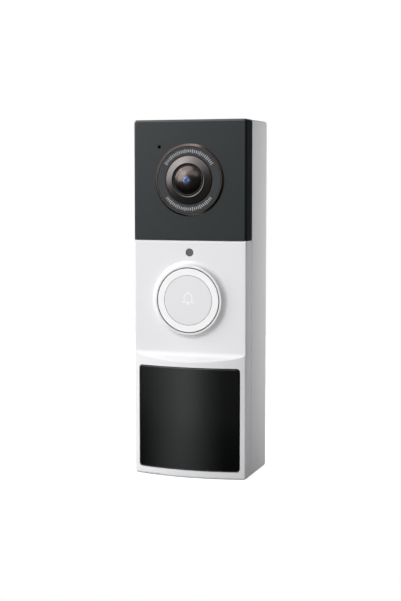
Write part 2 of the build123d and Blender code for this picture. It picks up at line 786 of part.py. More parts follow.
def sensor_window():
    """Dark curved sensor window with a bevelled edge and a flange behind the cover."""
    width = 2 * (WINDOW_HALF_W - WINDOW_GAP)
    height = WINDOW_H - 2 * WINDOW_GAP
    pane = bulge_skin(-0.12, WALL + 0.4, width, height, WINDOW_R, WINDOW_Z)
    face = pane.faces().filter_by(GeomType.CYLINDER).sort_by(lambda f: f.center().Y)[0]
    pane = chamfer(face.edges(), 0.45)
    flange = bulge_skin(WALL + 0.4, WALL + 1.1, 2 * INNER - 0.2, WINDOW_H + 1.6, 1.0, WINDOW_Z)
    return pane + flange - bulge_skin(1.0, WALL + 2, width - 2.4, height - 2.4, 0.8, WINDOW_Z)


def window_gasket():
    """Rubber frame between the window's flange and the cover."""
    sheet = bulge_skin(WALL, WALL + 0.4, 2 * INNER - 0.2, WINDOW_H + 1.6, 1.0, WINDOW_Z)
    return sheet - slab(
        2 * WINDOW_HALF_W, WINDOW_H, FRONT - BULGE - 2, SPLIT, WINDOW_R, z=WINDOW_Z
    )


def window_clamp():
    """Frame that clamps the window's flange from behind."""
    sheet = bulge_skin(WALL + 1.1, WALL + 2.4, 2 * INNER - 0.2, WINDOW_H + 1.6, 1.0, WINDOW_Z)
    return sheet - slab(41.0, WINDOW_H - 3.2, FRONT - BULGE - 2, SPLIT, 2.0, z=WINDOW_Z)


def motion_board():
    """Board of the motion sensors."""
    board = slab(38.0, 22.0, MOTION_FRONT, MOTION_BACK, 1.0, 0, -50.5)
    for x, z in MOTION_SCREWS:
        board -= rod(0.95, MOTION_FRONT - 1, MOTION_BACK + 1, x, z)
    return board


def motion_sensors():
    """Two metal-can heat sensors side by side."""
    cans = []
    for x in (-8.5, 8.5):
        can = rod(4.1, MOTION_FRONT - 4.2, MOTION_FRONT, x, -50.0)
        can += rod(4.6, MOTION_FRONT - 0.6, MOTION_FRONT, x, -50.0)
        can -= block(x - 2.0, x + 2.0, MOTION_FRONT - 5, MOTION_FRONT - 4.0, -51.6, -48.4)
        cans.append(can)
    return grid(cans)


# ---------------------------------------------------------------- speaker, port and reset


def speaker_gasket():
    """Foam frame between the speaker and the housing's underside."""
    outer = RectangleRounded(18.0, 13.0, 1.5) - RectangleRounded(15.2, 10.2, 1.0)
    return Pos(SPEAKER_X, SPEAKER_Y, BOTTOM + WALL) * extrude(outer, 0.7)


def speaker_frame():
    """Speaker basket, open at the cone side and bored for the magnet."""
    z = BOTTOM + WALL + 0.7
    basket = extrude(RectangleRounded(18.0, 13.0, 1.5), 4.2)
    basket -= extrude(RectangleRounded(16.0, 11.0, 1.0), 3.4)
    basket -= Cylinder(4.55, 20)
    return Pos(SPEAKER_X, SPEAKER_Y, z) * basket


def speaker_magnet():
    """Magnet of the speaker."""
    return Pos(SPEAKER_X, SPEAKER_Y, BOTTOM + WALL + 3.6) * Cylinder(4.5, 3.2)


def speaker_cone():
    """Thin cone and surround."""
    plate = extrude(RectangleRounded(15.8, 10.8, 0.9), 0.4)
    dome = Pos(0, 0, 0.5) * extrude(SlotOverall(9.0, 5.0), 0.4)
    return Pos(SPEAKER_X, SPEAKER_Y, BOTTOM + WALL + 0.9) * (plate + Pos(0, 0, -0.1) * dome)


def port_board():
    """Small board with the charging port and the reset switch."""
    board = slab(9.8, 17.7, PORT_FRONT, PORT_BACK, 0.8, 9.45, -64.15)
    for x, z in PORT_SCREWS:
        board -= rod(0.95, PORT_FRONT - 1, PORT_BACK + 1, x, z)
    return board


def port_socket():
    """Charging socket: drawn steel shell, with the contact tongue and its back block."""
    outline = RectangleRounded(9.0, 3.3, 1.6) - RectangleRounded(8.4, 2.7, 1.3)
    shell = Pos(0, 0, -73.9) * extrude(outline, 7.4)
    back = Pos(0, 0, -67.8) * extrude(RectangleRounded(8.3, 2.6, 1.25), 1.2)
    tongue = Pos(0, 0, -72.4) * extrude(Rectangle(6.6, 0.7), 4.7)
    place = Pos(PORT_X, PORT_Y, 0)
    return grid([place * shell, place * (back + tongue)])


def port_cover():
    """Rubber cover of the charging port, with its hinge roll and sealing plug."""
    y0 = -15.9
    thick = 0.8
    z0 = COVER_AXIS_Z - thick / 2
    width, depth = 13.0, COVER_AXIS_Y - y0
    plate = extrude(RectangleRounded(width, depth + 2.0, 1.1), thick)
    plate = Pos(PORT_X, y0 + (depth + 2.0) / 2, z0) * plate
    plate &= block(PORT_X - 8, PORT_X + 8, y0 - 1, COVER_AXIS_Y, z0 - 1, z0 + 2)
    roll = Pos(PORT_X, COVER_AXIS_Y, COVER_AXIS_Z) * Rot(0, 90, 0) * Cylinder(thick / 2, width)
    plug = Pos(PORT_X, PORT_Y, z0 + thick) * extrude(RectangleRounded(7.6, 1.9, 0.9), 1.1)
    return plate + roll + plug


def reset_key():
    """Recessed reset key in the back of the housing."""
    y = HOUSING_BACK - 0.3
    return turned(
        [
            (0, y),
            (1.8, y),
            (1.98, y - 0.18),
            (1.98, -2.1),
            (2.8, -2.1),
            (2.8, -2.9),
            (1.2, -2.9),
            (1.2, -7.15),
            (0, -7.15),
        ],
        RESET_X,
        RESET_Z,
    )


def reset_switch():
    """Push switch behind the reset key."""
    body = slab(4.0, 4.0, PORT_BACK, PORT_BACK + 1.2, 0.4, RESET_X, RESET_Z)
    return body - rod(1.05, PORT_BACK + 0.15, PORT_BACK + 2, RESET_X, RESET_Z)


def reset_plunger():
    """Plunger of the reset switch."""
    return rod(1.0, PORT_BACK + 0.7, -7.2, RESET_X, RESET_Z)


# ---------------------------------------------------------------- screws and wall plate


def board_screws():
    """Small screws of the five boards; the camera board's are driven from behind."""
    screws = [screw(1.6, 1.0, 0.78, 3.2, MAIN_FRONT, x, z, True) for x, z in MAIN_SCREWS]
    screws += [screw(1.6, 1.0, 0.78, 4.2, CAMERA_BACK, x, z, False) for x, z in CAMERA_SCREWS]
    screws += [screw(1.3, 0.7, 0.68, 2.6, LED_FRONT, x, z, True) for x, z in LED_SCREWS]
    screws += [screw(1.6, 1.0, 0.78, 5.0, MOTION_FRONT, x, z, True) for x, z in MOTION_SCREWS]
    screws += [screw(1.6, 1.0, 0.78, 5.0, PORT_FRONT, x, z, True) for x, z in PORT_SCREWS]
    return grid(screws)


def wall_plate():
    """Plate screwed to the wall; its four side tabs hold the doorbell."""
    height = PLATE_TOP - PLATE_BOTTOM
    middle = (PLATE_TOP + PLATE_BOTTOM) / 2
    plate = slab(2 * PLATE_HALF_W, height, -PLATE_T, 0, 4.0, z=middle)
    for z in TAB_ZS:
        plate += block(-TAB_OUT, TAB_OUT, -PLATE_T, -1.3, z, z + TAB_H)
    for z in (-SCREW_PITCH / 2, SCREW_PITCH / 2):
        plate -= rod(WALL_SCREW_R, -PLATE_T - 1, 1, 0, z)
        sink = Cone(WALL_SCREW_R, 4.3, 1.4)
        plate -= Pos(0, -PLATE_T + 0.7, z) * Rot(90, 0, 0) * sink
    for x in (-11.0, 11.0):
        plate -= slab(3.0, 26.0, -PLATE_T - 1, -PLATE_T + 0.9, 1.4, x, 3.5)
    return plate


PARTS = {
    "front_cover": front_cover,
    "camera_panel": camera_panel,
    "rear_housing": rear_housing,
    "casing_seal": casing_seal,
    "case_screws": case_screws,
    "rating_label": rating_label,
    "inner_frame": inner_frame,
    "lens_bezel": lens_bezel,
    "index_ring": index_ring,
    "lens_cone": lens_cone,
    "front_glass": front_glass,
    "lens_barrel": lens_barrel,
    "inner_lenses": inner_lenses,
    "lens_spacers": lens_spacers,
    "lens_mount": lens_mount,
    "filter_actuator": filter_actuator,
    "filter_blade": filter_blade,
    "filter_glass": filter_glass,
    "image_sensor": image_sensor,
    "camera_board": camera_board,
    "led_board": led_board,
    "infrared_leds": infrared_leds,
    "panel_gaskets": panel_gaskets,
    "microphone": microphone,
    "button_cap": button_cap,
    "bell_symbol": bell_symbol,
    "light_ring": light_ring,
    "return_pad": return_pad,
    "call_switch": call_switch,
    "call_plunger": call_plunger,
    "status_window": status_window,
    "indicator_leds": indicator_leds,
    "main_board": main_board,
    "radio_shield": radio_shield,
    "board_chips": board_chips,
    "board_connectors": board_connectors,
    "camera_ribbon": camera_ribbon,
    "antenna": antenna,
    "battery_cells": battery_cells,
    "battery_cradle": battery_cradle,
    "battery_tabs": battery_tabs,
    "battery_board": battery_board,
    "sensor_window": sensor_window,
    "window_gasket": window_gasket,
    "window_clamp": window_clamp,
    "motion_board": motion_board,
    "motion_sensors": motion_sensors,
    "speaker_gasket": speaker_gasket,
    "speaker_frame": speaker_frame,
    "speaker_magnet": speaker_magnet,
    "speaker_cone": speaker_cone,
    "port_board": port_board,
    "port_socket": port_socket,
    "port_cover": port_cover,
    "reset_key": reset_key,
    "reset_switch": reset_switch,
    "reset_plunger": reset_plunger,
    "board_screws": board_screws,
    "wall_plate": wall_plate,
}

os.makedirs("parts", exist_ok=True)
for name, make in PARTS.items():
    export_step(make(), f"parts/{name}.step")
print(len(PARTS), "parts")
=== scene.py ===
"""Looks for the battery video doorbell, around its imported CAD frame. Metres, the frame's own axes."""

from math import cos, pi, radians, sin

import bpy
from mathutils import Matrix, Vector


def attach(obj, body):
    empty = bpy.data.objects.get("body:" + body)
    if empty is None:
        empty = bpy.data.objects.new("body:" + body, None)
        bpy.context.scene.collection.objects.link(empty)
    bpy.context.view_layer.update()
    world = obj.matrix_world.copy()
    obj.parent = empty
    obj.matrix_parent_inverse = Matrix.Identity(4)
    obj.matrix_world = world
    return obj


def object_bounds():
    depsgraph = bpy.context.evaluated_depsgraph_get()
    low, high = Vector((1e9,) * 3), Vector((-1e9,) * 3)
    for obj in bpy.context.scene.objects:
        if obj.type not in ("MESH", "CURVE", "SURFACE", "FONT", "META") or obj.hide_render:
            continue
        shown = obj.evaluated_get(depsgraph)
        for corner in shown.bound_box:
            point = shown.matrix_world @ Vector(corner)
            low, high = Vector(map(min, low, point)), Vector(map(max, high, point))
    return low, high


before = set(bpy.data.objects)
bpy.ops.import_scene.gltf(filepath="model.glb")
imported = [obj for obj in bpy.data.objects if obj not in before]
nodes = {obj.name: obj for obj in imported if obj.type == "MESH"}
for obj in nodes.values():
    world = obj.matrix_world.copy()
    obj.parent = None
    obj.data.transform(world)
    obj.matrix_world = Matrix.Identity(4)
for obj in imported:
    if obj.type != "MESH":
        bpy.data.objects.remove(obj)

cad_box = [list(corner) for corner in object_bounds()]
bpy.ops.object.select_all(action="DESELECT")
MM = 0.001


# ---- Casing --------------------------------------------------------------------------------------
# Front cover and battery housing are injection-moulded white ASA with a fine spark-eroded finish.
# They meet at a parting line with a silicone seal between them, and four long screws pull them
# together from the back.


def linear(hex_colour):
    """sRGB hex colour as linear RGBA."""
    channels = [int(hex_colour[i : i + 2], 16) / 255 for i in (0, 2, 4)]
    return tuple(c / 12.92 if c <= 0.04045 else ((c + 0.055) / 1.055) ** 2.4 for c in channels) + (1.0,)


def add_node(tree, kind, settings=None, links=None):
    """Adds a shader node, sets its properties and sockets, and links its inputs."""
    node = tree.nodes.new(kind)
    for key, value in (settings or {}).items():
        if isinstance(key, str) and key.islower():
            setattr(node, key, value)
        else:
            node.inputs[key].default_value = value
    for key, source in (links or {}).items():
        tree.links.new(source, node.inputs[key])
    return node


def new_material(name):
    """Empty node material with an output and the object's own coordinates."""
    material = bpy.data.materials.new(name)
    material.use_nodes = True
    tree = material.node_tree
    tree.nodes.clear()
    output = add_node(tree, "ShaderNodeOutputMaterial")
    return material, tree, output, add_node(tree, "ShaderNodeTexCoord").outputs["Object"]


DRIFT_LENGTH = 18 * MM  # over which a moulding's tone drifts


def moulded(name, colour, roughness, grain_mm, depth_mm, specular=0.5, tone=0.04):
    """Moulded or sheet material: a grain as bump and roughness, and a slow drift of tone."""
    material, tree, output, place = new_material(name)
    grain = add_node(
        tree,
        "ShaderNodeTexNoise",
        {"Scale": 1 / (grain_mm * MM), "Detail": 3.0, "Roughness": 0.6},
        {"Vector": place},
    ).outputs["Fac"]
    drift = add_node(
        tree, "ShaderNodeTexNoise", {"Scale": 1 / DRIFT_LENGTH, "Detail": 1.0}, {"Vector": place}
    ).outputs["Fac"]
    full = linear(colour)
    shaded = tuple(c * (1 - tone) for c in full[:3]) + (1.0,)
    body = add_node(
        tree, "ShaderNodeMix", {"data_type": "RGBA", 6: shaded, 7: full}, {"Factor": drift}
    ).outputs[2]
    sheen_spread = add_node(
        tree,
        "ShaderNodeMapRange",
        {"To Min": roughness * 0.92, "To Max": roughness * 1.08},
        {"Value": grain},
    ).outputs["Result"]
    bump = add_node(
        tree, "ShaderNodeBump", {"Strength": 0.35, "Distance": depth_mm * MM}, {"Height": grain}
    ).outputs["Normal"]
    shader = add_node(
        tree,
        "ShaderNodeBsdfPrincipled",
        {"IOR": 1.5, "Specular IOR Level": specular},
        {"Base Color": body, "Roughness": sheen_spread, "Normal": bump},
    )
    tree.links.new(shader.outputs["BSDF"], output.inputs["Surface"])
    return material


def finish_nodes(material, *names):
    """Gives CAD nodes their material."""
    for name in names:
        mesh = nodes[name].data
        mesh.materials.clear()
        mesh.materials.append(material)


# White ASA: a clean cool white with a soft even sheen, the spark-eroded grain drawn 0.45 mm across,
# coarser than the real one, so that it shows.
white_asa = moulded("white_asa_spark_eroded", "EDEDEF", 0.42, 0.45, 0.02, tone=0.015)
finish_nodes(white_asa, "front_cover", "rear_housing")

# Silicone and foam seals: matt greys that take almost no highlight.
grey_silicone = moulded("grey_silicone", "6E7073", 0.6, 0.3, 0.01)
black_foam = moulded("black_closed_cell_foam", "1D1E20", 0.85, 0.35, 0.12, 0.2, tone=0.3)
finish_nodes(grey_silicone, "casing_seal", "window_gasket")
finish_nodes(black_foam, "panel_gaskets", "speaker_gasket")


# ---- Camera panel --------------------------------------------------------------------------------
# The cap over the camera is one moulding of dark polycarbonate that looks black but passes infrared.
# Its front is finely matt, its edges have a narrow bevel, and it meets the front cover along its foot.

# Infrared-clear polycarbonate: blue-grey black, weak broad sheen.
dark_polycarbonate = moulded("dark_infrared_clear_polycarbonate", "161D20", 0.4, 0.35, 0.012, 0.45, tone=0.1)
finish_nodes(dark_polycarbonate, "camera_panel")


# ---- Lens trim -----------------------------------------------------------------------------------
# Three rings round the lens: a bronze-anodised trim ring with a bevelled lip, a matt black index ring
# with grey-filled strokes, and a machined aluminium cone. They drop into one another from the front.

LENS_Z = 50 * MM


def radius_about(tree, place, height):
    """Distance of each point from a line along Y, straight through the middle at this height."""
    centred = add_node(
        tree, "ShaderNodeVectorMath", {"operation": "SUBTRACT", 1: (0, 0, height)}, {0: place}
    ).outputs["Vector"]
    flat = add_node(
        tree, "ShaderNodeVectorMath", {"operation": "MULTIPLY", 1: (1, 0, 1)}, {0: centred}
    ).outputs["Vector"]
    return add_node(
        tree, "ShaderNodeVectorMath", {"operation": "LENGTH"}, {0: flat}
    ).outputs["Value"]


def turned(name, colour, roughness, groove_mm, depth_mm, wear):
    """Metal turned about the lens axis: fine concentric grooves as bump and as bands of tone."""
    material, tree, output, place = new_material(name)
    grooves = add_node(
        tree,
        "ShaderNodeTexNoise",
        {"noise_dimensions": "1D", "Scale": 1 / (groove_mm * MM), "Detail": 4.0, "Roughness": 0.7},
        {"W": radius_about(tree, place, LENS_Z)},
    ).outputs["Fac"]
    full = linear(colour)
    worn = tuple(c * (1 - wear) for c in full[:3]) + (1.0,)
    tone = add_node(
        tree, "ShaderNodeMix", {"data_type": "RGBA", 6: worn, 7: full}, {"Factor": grooves}
    ).outputs[2]
    bump = add_node(
        tree, "ShaderNodeBump", {"Strength": 0.5, "Distance": depth_mm * MM}, {"Height": grooves}
    ).outputs["Normal"]
    shader = add_node(
        tree,
        "ShaderNodeBsdfPrincipled",
        {"Metallic": 1.0, "Roughness": roughness},
        {"Base Color": tone, "Normal": bump},
    )
    tree.links.new(shader.outputs["BSDF"], output.inputs["Surface"])
    return material


# Bronze anodising: a thin dark pinkish-brown film over bright turned metal, so only the bevel flashes.
bronze_anodised = turned("bronze_anodised_aluminium", "756B66", 0.25, 0.12, 0.004, 0.2)
# Machined cone: warm grey, its tool marks about 0.15 mm apart, which smear the light across the slope.
turned_aluminium = turned("turned_grey_aluminium", "666160", 0.36, 0.15, 0.01, 0.45)
finish_nodes(bronze_anodised, "lens_bezel")
finish_nodes(turned_aluminium, "lens_cone")

# Matt black-grey moulding under the marks.
index_plastic = moulded("matt_index_plastic", "2C2F31", 0.5, 0.3, 0.01, 0.35)
finish_nodes(index_plastic, "index_ring")

# Index marks: plain strokes round the upper and the lower arc, filled with grey paint.
MARK_RADIUS = 12.02 * MM
MARK_HEIGHT = 1.7 * MM
MARK_WIDTH = 0.32 * MM
MARK_FACE_Y = -32.385 * MM
MARK_DEPTH = 0.08 * MM
MARK_ROUNDING = 0.03 * MM
MARK_STEP = 4.0  # degrees
UPPER_MARKS = 29
LOWER_MARKS = 27
LONG_EVERY = 4
SHORT_SHARE = 0.72

mark_place = (0, MARK_FACE_Y + MARK_DEPTH / 2, LENS_Z + MARK_RADIUS)
bpy.ops.mesh.primitive_cube_add(size=1, location=mark_place)
mark = bpy.context.object
mark.scale = (MARK_WIDTH, MARK_DEPTH, MARK_HEIGHT)
bpy.ops.object.transform_apply(location=True, rotation=True, scale=True)
bevel = mark.modifiers.new("rounded_stroke", "BEVEL")
bevel.width = MARK_ROUNDING
bevel.segments = 2
bpy.ops.object.modifier_apply(modifier=bevel.name)

marks = []
angles = [(i - (UPPER_MARKS - 1) / 2) * MARK_STEP for i in range(UPPER_MARKS)]
angles += [180 + (i - (LOWER_MARKS - 1) / 2) * MARK_STEP for i in range(LOWER_MARKS)]
for i, angle in enumerate(angles):
    copy = mark.copy()
    copy.data = mark.data.copy()
    bpy.context.scene.collection.objects.link(copy)
    share = 1.0 if i % LONG_EVERY == 0 else SHORT_SHARE
    turn = radians(angle)
    for vertex in copy.data.vertices:
        across, along = vertex.co.x, (vertex.co.z - LENS_Z - MARK_RADIUS) * share + MARK_RADIUS
        vertex.co.x = across * cos(turn) + along * sin(turn)
        vertex.co.z = LENS_Z - across * sin(turn) + along * cos(turn)
    marks.append(copy)
bpy.data.objects.remove(mark, do_unlink=True)
bpy.ops.object.select_all(action="DESELECT")
for copy in marks:
    copy.select_set(True)
bpy.context.view_layer.objects.active = marks[0]
bpy.ops.object.join()
index_marks = bpy.context.object
index_marks.name = "index_marks"
# Pad-printed grey filling, matt and a little uneven.
index_marks.data.materials.clear()
index_marks.data.materials.append(moulded("grey_mark_filling", "C6C8CA", 0.6, 0.12, 0.004, tone=0.3))
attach(index_marks, "doorbell")
bpy.ops.object.select_all(action="DESELECT")


# ---- Lens ----------------------------------------------------------------------------------------
# A black barrel holds a domed front glass and three smaller elements, spaced by black rings. The
# glasses are polished and coated. The front glass is opaque here, with its pupil painted on its face:
# the blue glints of the coating are painted reflections in the pupil's colour, on the inner elements too.

# Black moulding of the barrel, holder and frames: near black, matt, with a fine grain.
black_moulding = moulded("black_glass_filled_nylon", "141517", 0.5, 0.3, 0.01, 0.4)
finish_nodes(black_moulding, "lens_barrel", "lens_spacers", "lens_mount", "filter_blade")
finish_nodes(black_moulding, "inner_frame", "window_clamp", "battery_cradle", "speaker_frame")


HAZE_SIZE = 2.5 * MM
GLINT_SIZE = 1.1 * MM


def coated_glass(name, tint, roughness, clear, rings=None):
    """Coated optical glass: tinted reflections, and a pupil painted in rings of (radius in mm, colour), its
    blue reflections and glints painted into the colour.
    """
    material, tree, output, place = new_material(name)
    haze = add_node(
        tree, "ShaderNodeTexNoise", {"Scale": 1 / HAZE_SIZE, "Detail": 2.0}, {"Vector": place}
    ).outputs["Fac"]
    spread = add_node(
        tree,
        "ShaderNodeMapRange",
        {"To Min": roughness * 0.8, "To Max": roughness * 1.2},
        {"Value": haze},
    ).outputs["Result"]
    links = {"Roughness": spread}
    if rings:
        share = add_node(
            tree,
            "ShaderNodeMapRange",
            {"From Max": rings[-1][0] * MM},
            {"Value": radius_about(tree, place, LENS_Z)},
        ).outputs["Result"]
        ramp = add_node(tree, "ShaderNodeValToRGB", None, {"Fac": share})
        stops = ramp.color_ramp.elements
        for index, (reach, colour) in enumerate(rings):
            stop = stops[index] if index < 2 else stops.new(1.0)
            stop.position = reach / rings[-1][0]
            stop.color = linear(colour)
        # Painted glints: a noise breaks the painted blue reflections into separate glints, near black
        # between them.
        glints = add_node(
            tree,
            "ShaderNodeTexNoise",
            {"Scale": 1 / GLINT_SIZE, "Detail": 0.0, "Distortion": 1.5},
            {"Vector": place},
        ).outputs["Fac"]
        gaps = add_node(
            tree,
            "ShaderNodeMapRange",
            {"From Min": 0.42, "From Max": 0.56, "To Min": 0.12},
            {"Value": glints},
        ).outputs["Result"]
        links["Base Color"] = add_node(
            tree,
            "ShaderNodeMix",
            {"data_type": "RGBA", 6: linear("05070B")},
            {"Factor": gaps, 7: ramp.outputs["Color"]},
        ).outputs[2]
    settings = {"IOR": 1.75, "Specular Tint": linear(tint), "Transmission Weight": clear}
    shader = add_node(tree, "ShaderNodeBsdfPrincipled", settings, links)
    tree.links.new(shader.outputs["BSDF"], output.inputs["Surface"])
    return material


# Front element: a black well with the blue pupil at its middle, painted on the glass; the pupil's blue rings
# are painted reflections of the coated inner lenses. Over it lies the warm grey reflection of the lights.
PAINTED_PUPIL_REFLECTIONS = [
    (0, "0A1220"),
    (0.45, "24508E"),
    (0.95, "6E9CD4"),
    (1.45, "2E5FA6"),
    (1.8, "0C1526"),
    (2.1, "1E1916"),
    (2.4, "120F0D"),
    (2.7, "040303"),
    (6.0, "020202"),
]
finish_nodes(coated_glass("coated_front_glass", "FFEADF", 0.27, 0.0, PAINTED_PUPIL_REFLECTIONS), "front_glass")
# The inner elements carry the same painted pupil, its blue reflections painted into the colour.
finish_nodes(coated_glass("blue_coated_glass", "9DB8FF", 0.08, 0.0, PAINTED_PUPIL_REFLECTIONS), "inner_lenses")
# Infrared filter and sensor cover: flat glass with a magenta cast.
finish_nodes(coated_glass("infrared_filter_glass", "E0A6FF", 0.05, 0.4), "filter_glass")
sensor_glass = coated_glass("sensor_cover_glass", "C9A0FF", 0.08, 0.0, [(0, "1F2A3A"), (6.0, "0C0F16")])
finish_nodes(sensor_glass, "image_sensor")


# ---- Call button ---------------------------------------------------------------------------------
# A white moulded disc in a milky light guide, pressed as one against a silicone return pad. The bell
# is a second shot of clear white in the disc's face. The thin dark lines between disc, guide and
# collar are painted shade: the shade in the gaps is painted on the edges of both pieces.

BUTTON_Z = 0
DISC_FACE_RADIUS = 10.34 * MM
GUIDE_INNER_RADIUS = 10.5 * MM
GUIDE_OUTER_RADIUS = 13.36 * MM


def opened(material):
    """A moulded material's tree, its shader and its object coordinates."""
    tree = material.node_tree
    shader = next(node for node in tree.nodes if node.type == "BSDF_PRINCIPLED")
    return tree, shader, next(node for node in tree.nodes if node.type == "TEX_COORD").outputs["Object"]


def shade_edges(material, inner, outer, colour):
    """Paints shade on a round piece on the button's axis, nearer than one radius and beyond another, for the
    dark gaps.
    """
    tree, shader, place = opened(material)
    radius = radius_about(tree, place, BUTTON_Z)
    beyond = add_node(
        tree, "ShaderNodeMath", {"operation": "GREATER_THAN", 1: outer}, {0: radius}
    ).outputs["Value"]
    within = add_node(
        tree, "ShaderNodeMath", {"operation": "LESS_THAN", 1: inner}, {0: radius}
    ).outputs["Value"]
    edge = add_node(
        tree, "ShaderNodeMath", {"operation": "MAXIMUM"}, {0: beyond, 1: within}
    ).outputs["Value"]
    body = shader.inputs["Base Color"].links[0].from_socket
    shaded = add_node(
        tree, "ShaderNodeMix", {"data_type": "RGBA", 7: linear(colour)}, {"Factor": edge, 6: body}
    ).outputs[2]
    tree.links.new(shaded, shader.inputs["Base Color"])


# Disc: the casing's white, painted matt on its face, with a grey edge that is painted shade for the gap
# round it.
disc_white = moulded("matt_painted_disc", "ECECEE", 0.5, 0.4, 0.012, tone=0.015)
shade_edges(disc_white, 0, DISC_FACE_RADIUS, "77777A")
finish_nodes(disc_white, "button_cap")
# Light guide: opal polycarbonate, brighter than the white round it, with its walls painted dark as shade in
# the gaps beside them.
opal = moulded("opal_polycarbonate", "FFFFFF", 0.26, 0.5, 0.006, tone=0.0)
shade_edges(opal, GUIDE_INNER_RADIUS, GUIDE_OUTER_RADIUS, "2E2E30")
finish_nodes(opal, "light_ring")
finish_nodes(moulded("clear_white_symbol", "FFFFFF", 0.3, 0.5, 0.006, tone=0.0), "bell_symbol")
finish_nodes(moulded("white_silicone", "E9E9E6", 0.55, 0.4, 0.01), "return_pad")


# ---- Status light --------------------------------------------------------------------------------
# A smoky polycarbonate light pipe, set a hair below the cover over the status lamp. It is polished,
# so it shows as an even mid grey with a faint gloss.

smoke = moulded("smoky_polycarbonate", "636367", 0.25, 0.4, 0.005)
finish_nodes(smoke, "status_window")


# ---- Motion sensor window ------------------------------------------------------------------------
# A curved sheet of black high-density polyethylene, clear to body heat, with a narrow bevel all
# round, clamped from behind on a rubber gasket. Its surface is waxy smooth, with a broad upright sheen.
# The sheen is painted for the most part: a painted reflection, lighter down the middle, near black at both
# sides.

SHEEN_MIDDLE = -2.5 * MM
SHEEN_REACH = 20 * MM
SIDE_BLACK = "070808"
PAINTED_SHEEN_GREY = "323534"
black_polyethylene = moulded("black_polyethylene_window", SIDE_BLACK, 0.2, 0.6, 0.01)
tree, shader, place = opened(black_polyethylene)
# Painted sheen: the base colour turns from black to grey towards the middle of the sheet.
aside = add_node(tree, "ShaderNodeSeparateXYZ", None, {"Vector": place}).outputs["X"]
offset = add_node(
    tree, "ShaderNodeMath", {"operation": "SUBTRACT", 1: SHEEN_MIDDLE}, {0: aside}
).outputs["Value"]
distance = add_node(tree, "ShaderNodeMath", {"operation": "ABSOLUTE"}, {0: offset}).outputs["Value"]
painted_sheen_share = add_node(
    tree,
    "ShaderNodeMapRange",
    {"interpolation_type": "SMOOTHSTEP", "From Min": SHEEN_REACH, "From Max": 0.0},
    {"Value": distance},
).outputs["Result"]
painted_sheen_colour = add_node(
    tree,
    "ShaderNodeMix",
    {"data_type": "RGBA", 6: linear(SIDE_BLACK), 7: linear(PAINTED_SHEEN_GREY)},
    {"Factor": painted_sheen_share},
).outputs[2]
tree.links.new(painted_sheen_colour, shader.inputs["Base Color"])
finish_nodes(black_polyethylene, "sensor_window")


# ---- Underside and back --------------------------------------------------------------------------
# The rubber cover of the charging port, the recessed reset key, a blank rating label, the casing
# screws, and the grey wall plate with its countersunk holes.

finish_nodes(moulded("grey_elastomer", "C4C6C9", 0.6, 0.25, 0.01, 0.35), "port_cover")
finish_nodes(moulded("grey_abs", "9DA0A4", 0.45, 0.4, 0.015), "reset_key")
finish_nodes(moulded("grey_abs_plate", "A8ABAF", 0.5, 0.5, 0.02), "wall_plate")
finish_nodes(moulded("silver_label_film", "C9CBCD", 0.35, 0.2, 0.003, 0.6), "rating_label")


def plated(name, colour, roughness, grain_mm, depth_mm):
    """Plated or rolled metal: fine scratches along the sheet and a faint cloudiness."""
    material, tree, output, place = new_material(name)
    stretched = add_node(
        tree, "ShaderNodeVectorMath", {"operation": "MULTIPLY", 1: (1, 1, 0.12)}, {0: place}
    ).outputs["Vector"]
    scratches = add_node(
        tree,
        "ShaderNodeTexNoise",
        {"Scale": 1 / (grain_mm * MM), "Detail": 3.0},
        {"Vector": stretched},
    ).outputs["Fac"]
    spread = add_node(
        tree,
        "ShaderNodeMapRange",
        {"To Min": roughness * 0.75, "To Max": roughness * 1.25},
        {"Value": scratches},
    ).outputs["Result"]
    bump = add_node(
        tree, "ShaderNodeBump", {"Strength": 0.3, "Distance": depth_mm * MM}, {"Height": scratches}
    ).outputs["Normal"]
    shader = add_node(
        tree,
        "ShaderNodeBsdfPrincipled",
        {"Base Color": linear(colour), "Metallic": 1.0},
        {"Roughness": spread, "Normal": bump},
    )
    tree.links.new(shader.outputs["BSDF"], output.inputs["Surface"])
    return material


finish_nodes(plated("zinc_plated_steel", "B9BBBE", 0.3, 0.2, 0.004), "case_screws", "board_screws")


# ---- Speaker -------------------------------------------------------------------------------------
# A small oblong loudspeaker over the slots: black film cone, nickel-plated magnet, moulded basket.
# The heat sensors and the microphone have nickel-plated cans of the same kind.

finish_nodes(moulded("black_film_cone", "1B1C1E", 0.35, 0.5, 0.01), "speaker_cone")
nickel = plated("nickel_plate", "C2BEB6", 0.25, 0.3, 0.003)
finish_nodes(nickel, "speaker_magnet", "motion_sensors", "microphone")


# ---- Boards and their parts ----------------------------------------------------------------------
# Circuit boards of glass-epoxy laminate under green solder mask, with tinned shields and sockets,
# epoxy chips, ivory connectors, pale lamp bodies and an amber ribbon from the camera to the main board.

board_paint, tree, output, place = new_material("green_solder_mask")
traces = add_node(
    tree,
    "ShaderNodeTexBrick",
    {
        "offset": 0.5,
        "Scale": 1.0,
        "Brick Width": 3.4 * MM,
        "Row Height": 0.8 * MM,
        "Mortar Size": 0.12 * MM,
        "Color1": linear("123D2C"),
        "Color2": linear("164632"),
        "Mortar": linear("2C6B4A"),
    },
)
upright = add_node(tree, "ShaderNodeMapping", {"Rotation": (pi / 2, 0, 0)}, {"Vector": place})
tree.links.new(upright.outputs["Vector"], traces.inputs["Vector"])
relief = add_node(
    tree, "ShaderNodeBump", {"Strength": 0.4, "Distance": 0.03 * MM}, {"Height": traces.outputs["Fac"]}
)
shader = add_node(
    tree,
    "ShaderNodeBsdfPrincipled",
    {"Roughness": 0.32},
    {"Base Color": traces.outputs["Color"], "Normal": relief.outputs["Normal"]},
)
tree.links.new(shader.outputs["BSDF"], output.inputs["Surface"])
finish_nodes(board_paint, "main_board", "camera_board", "led_board")
finish_nodes(board_paint, "motion_board", "port_board", "battery_board")

